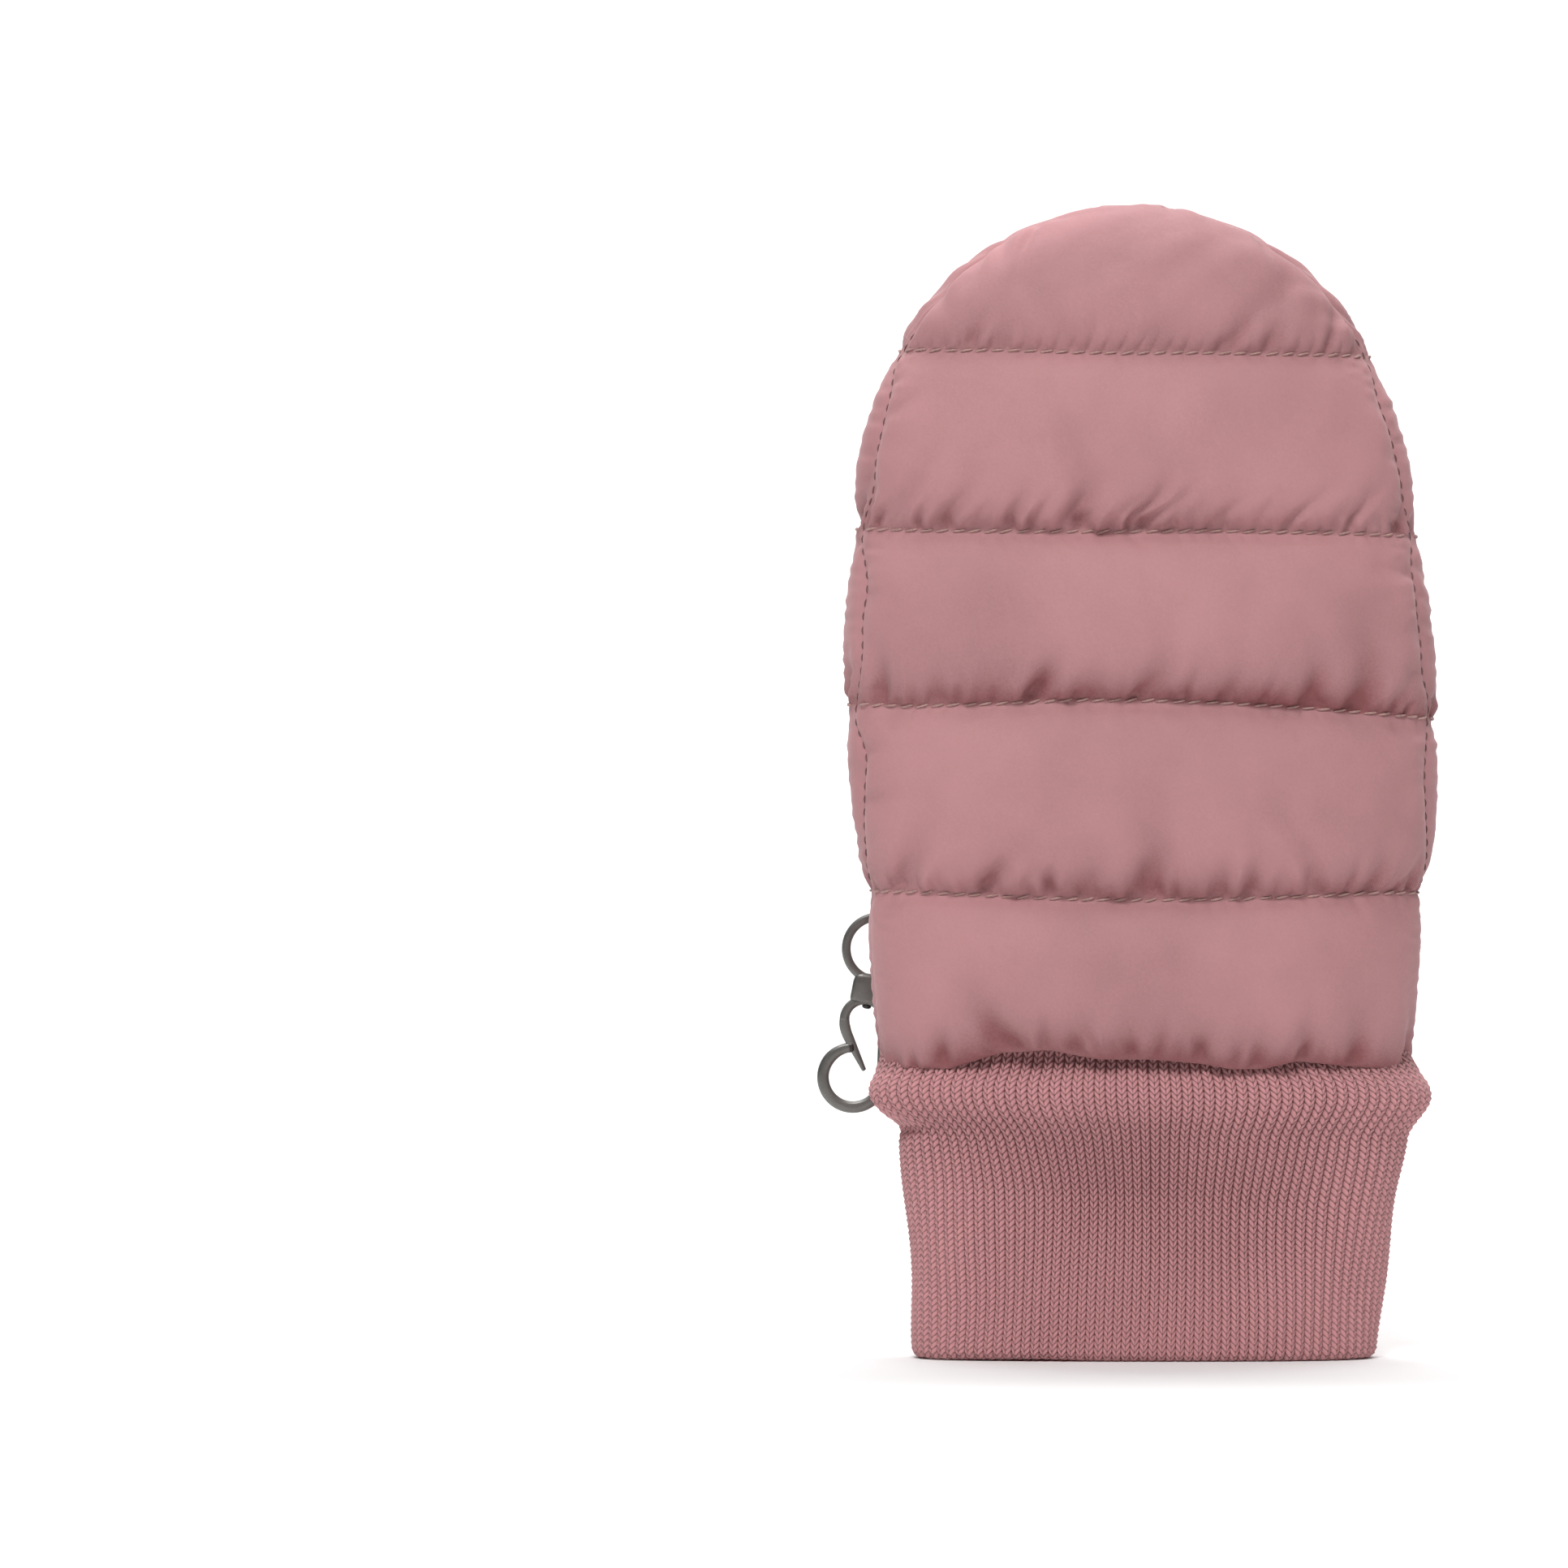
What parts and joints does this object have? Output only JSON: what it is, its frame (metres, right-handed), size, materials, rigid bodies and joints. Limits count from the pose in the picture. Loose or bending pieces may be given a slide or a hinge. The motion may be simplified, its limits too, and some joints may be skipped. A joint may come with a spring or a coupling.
{
  "type": "ski mitten",
  "caption": "Child's padded ski mitten with a quilted hand, a separate folded thumb, a double rib-knit cuff and a small swivel snap hook on a webbing loop.",
  "frame": {"origin": "centre of the cuff's opening, in the plane of the cuff's folded edge", "axes": "+Z from the cuff to the fingertips, +Y out of the palm, +X towards the little-finger side of the right hand"},
  "size_m": [0.1215, 0.0651, 0.2274],
  "materials": {
    "quilted_fabric": "matte dusty-pink woven polyester with a fine diagonal twill and a faint sheen",
    "wadding": "loose polyester wadding",
    "fleece_lining": "brushed fleece",
    "rib_knit": "one by one rib knit in dusty-pink yarn",
    "thread": "polyester sewing thread, slightly browner than the fabric",
    "elastic": "braided elastic",
    "webbing": "narrow woven tape",
    "clip_frame": "moulded, satin gunmetal grey",
    "clip_pin": "moulded, satin near-black"
  },
  "bodies": {
    "hand": {"back_shell": "quilted_fabric", "palm_shell": "quilted_fabric", "back_lining": "fleece_lining", "palm_lining": "fleece_lining", "wrist_elastic": "elastic", "back_fill_1": "wadding", "back_fill_2": "wadding", "back_fill_3": "wadding", "back_fill_4": "wadding", "back_fill_5": "wadding", "palm_fill_1": "wadding", "palm_fill_2": "wadding", "palm_fill_3": "wadding", "palm_fill_4": "wadding", "palm_fill_5": "wadding", "back_quilt_thread": "thread", "palm_quilt_thread": "thread", "side_seam_thread": "thread", "rib_cuff": "rib_knit", "cuff_seam_tape": "fleece_lining", "thumb_gusset": "quilted_fabric", "clip_loop_bartack": "thread"},
    "thumb": {"thumb_shell": "quilted_fabric", "thumb_fill": "wadding", "thumb_lining": "fleece_lining"},
    "loop": {"clip_loop": "webbing"},
    "eye": {"clip_eye": "clip_frame", "clip_swivel_pin": "clip_pin"},
    "hook": {"clip_hook": "clip_frame"},
    "gate": {"clip_gate": "clip_frame"}
  },
  "joints": [
    {"name": "thumb_swing", "type": "hinge", "parent": "hand", "child": "thumb", "pos_m": [-0.02746, 0.0186, 0.109], "axis": [0, -1, 0], "range_deg": [0, 40]},
    {"name": "loop_fold", "type": "hinge", "parent": "hand", "child": "loop", "pos_m": [-0.0525, 0.0099, 0.0927], "axis": [1, 0, 0], "range_deg": [0, 70]},
    {"name": "eye_turn", "type": "hinge", "parent": "loop", "child": "eye", "pos_m": [-0.0525, 0.016, 0.0802], "axis": [0, 1, 0], "range_deg": [-5, 100]},
    {"name": "hook_swivel", "type": "hinge", "parent": "eye", "child": "hook", "pos_m": [-0.05525, 0.016, 0.06603], "axis": [0.1908, 0, 0.9816], "continuous": true},
    {"name": "gate_open", "type": "hinge", "parent": "hook", "child": "gate", "pos_m": [-0.05848, 0.016, 0.06567], "axis": [0, -1, 0], "range_deg": [0, 12], "stiffness_Nm_per_rad": 0.01, "springref_deg": -2.86}
  ]
}
